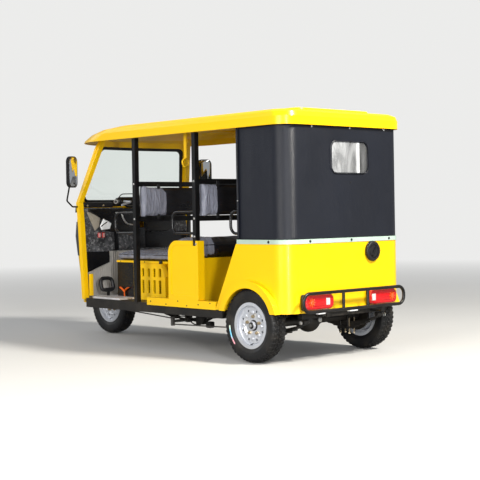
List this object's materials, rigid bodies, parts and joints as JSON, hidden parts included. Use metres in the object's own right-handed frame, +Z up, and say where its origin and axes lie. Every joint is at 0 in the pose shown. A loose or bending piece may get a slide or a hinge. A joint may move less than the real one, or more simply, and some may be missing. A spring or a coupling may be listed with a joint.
{
  "type": "auto rickshaw",
  "caption": "Passenger tricycle: canopy cab with curtained rear, bench seats, handlebar steering and free-turning wheels.",
  "frame": {"origin": "on the ground under the middle of the overall length and width", "axes": "+X forward, +Y to the vehicle's left, +Z up"},
  "size_m": [3.3635, 1.6362, 1.87],
  "materials": {
    "body_paint": "gloss yellow paint",
    "black_frame": "satin black paint",
    "silver_rim": "silver paint",
    "chassis_black": "chassis paint",
    "engine_metal": "as cast",
    "steel": "bare steel",
    "tyre": "matte",
    "rubber": "matte",
    "mat": "grey mat",
    "glass": "clear",
    "film": "clear film",
    "lens": "red and orange lens",
    "lamp": "clear lens",
    "black_plastic": "moulded",
    "grey_plastic": "moulded",
    "vinyl_seat": "black vinyl",
    "vinyl_curtain": "charcoal vinyl",
    "trim": "pale strip",
    "webbing": "yellow webbing"
  },
  "bodies": {
    "chassis": {"chassis_frame": "chassis_black", "steering_head": "chassis_black", "brake_rods": "steel", "rear_axle": "chassis_black", "leaf_springs": "chassis_black", "engine_block": "engine_metal", "drive_shaft": "steel", "exhaust": "steel", "floor_pan": "chassis_black", "floor_mat": "mat", "sill_panels": "body_paint", "nose_shell": "body_paint", "nose_band": "grey_plastic", "front_lamps": "lamp", "dash_panel": "grey_plastic", "dash_cowls": "black_plastic", "front_lining": "grey_plastic", "windscreen_frame": "body_paint", "windscreen_gasket": "rubber", "windscreen_glass": "glass", "roof_shell": "body_paint", "roof_bows": "body_paint", "posts": "black_frame", "driver_seat_box": "body_paint", "driver_seat_pan": "body_paint", "battery_box": "black_plastic", "driver_cushion": "vinyl_seat", "bench_box": "body_paint", "bench_cushion": "vinyl_seat", "backrest_frames": "black_frame", "backrest_pads": "vinyl_seat", "armrest_loops": "black_frame", "side_panels": "body_paint", "rear_body": "body_paint", "rear_bench_box": "body_paint", "rear_bench_cushion": "vinyl_seat", "rear_bench_backrest": "vinyl_seat", "rear_curtain": "vinyl_curtain", "rear_window": "film", "curtain_trim": "trim", "rear_guard": "black_frame", "tail_lamps": "lens", "fuel_cap": "black_plastic", "mirrors": "black_plastic", "grab_straps": "webbing", "foot_controls": "black_frame"},
    "steering": {"front_fork": "chassis_black", "handlebar": "black_frame", "front_mudguard": "black_plastic"},
    "front_wheel": {"front_tyre": "tyre", "front_rim": "silver_rim"},
    "rear_left_wheel": {"rear_left_tyre": "tyre", "rear_left_rim": "silver_rim"},
    "rear_right_wheel": {"rear_right_tyre": "tyre", "rear_right_rim": "silver_rim"}
  },
  "joints": [
    {"name": "steering_turn", "type": "hinge", "parent": "chassis", "child": "steering", "pos_m": [1.33075, 0, 0.275], "axis": [-0.3895, 0, 0.921], "range_deg": [-30, 30]},
    {"name": "front_wheel_spin", "type": "hinge", "parent": "steering", "child": "front_wheel", "pos_m": [1.38075, 0, 0.275], "axis": [0, 1, 0], "continuous": true},
    {"name": "rear_left_wheel_spin", "type": "hinge", "parent": "chassis", "child": "rear_left_wheel", "pos_m": [-1.20925, 0.593, 0.275], "axis": [0, 1, 0], "continuous": true},
    {"name": "rear_right_wheel_spin", "type": "hinge", "parent": "chassis", "child": "rear_right_wheel", "pos_m": [-1.20925, -0.593, 0.275], "axis": [0, 1, 0], "continuous": true}
  ]
}
